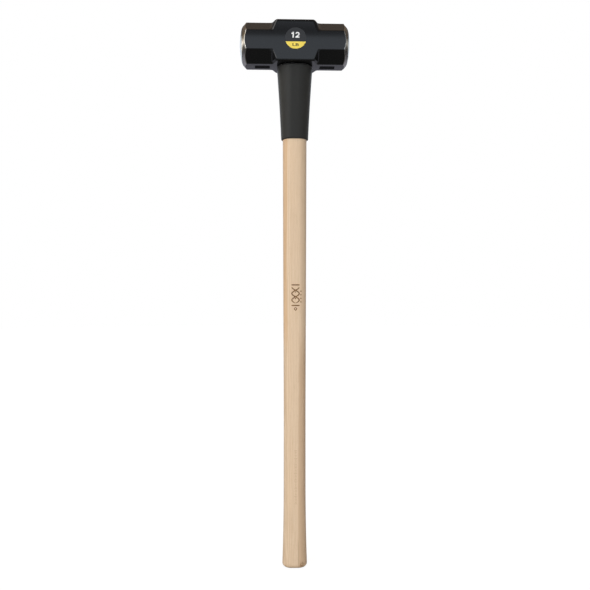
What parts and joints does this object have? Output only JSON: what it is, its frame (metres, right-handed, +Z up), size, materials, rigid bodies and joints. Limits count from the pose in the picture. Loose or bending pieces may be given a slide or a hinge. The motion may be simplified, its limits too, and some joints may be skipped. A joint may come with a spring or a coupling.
{
  "type": "sledgehammer",
  "caption": "Double-faced sledgehammer: octagonal-polled steel head on an oval wooden handle, with a rubber overstrike guard under the head.",
  "frame": {"origin": "lowest point of the domed butt, which is the bottom centre of the whole tool", "axes": "+Z up the handle towards the head, +X along the head towards one striking face, so -Y is the cheek with the weight label"},
  "size_m": [0.186, 0.0698, 0.919],
  "materials": {
    "head_paint": "satin",
    "face_steel": "polished",
    "handle_wood": "satin",
    "wedge_wood": "matte",
    "wedge_steel": "satin",
    "guard_rubber": "matte",
    "label_film": "satin"
  },
  "bodies": {
    "root": {"head": "head_paint", "handle": "handle_wood", "wood_wedge": "wedge_wood", "steel_wedge_left": "wedge_steel", "steel_wedge_right": "wedge_steel", "overstrike_guard": "guard_rubber", "weight_label": "label_film"}
  },
  "joints": []
}
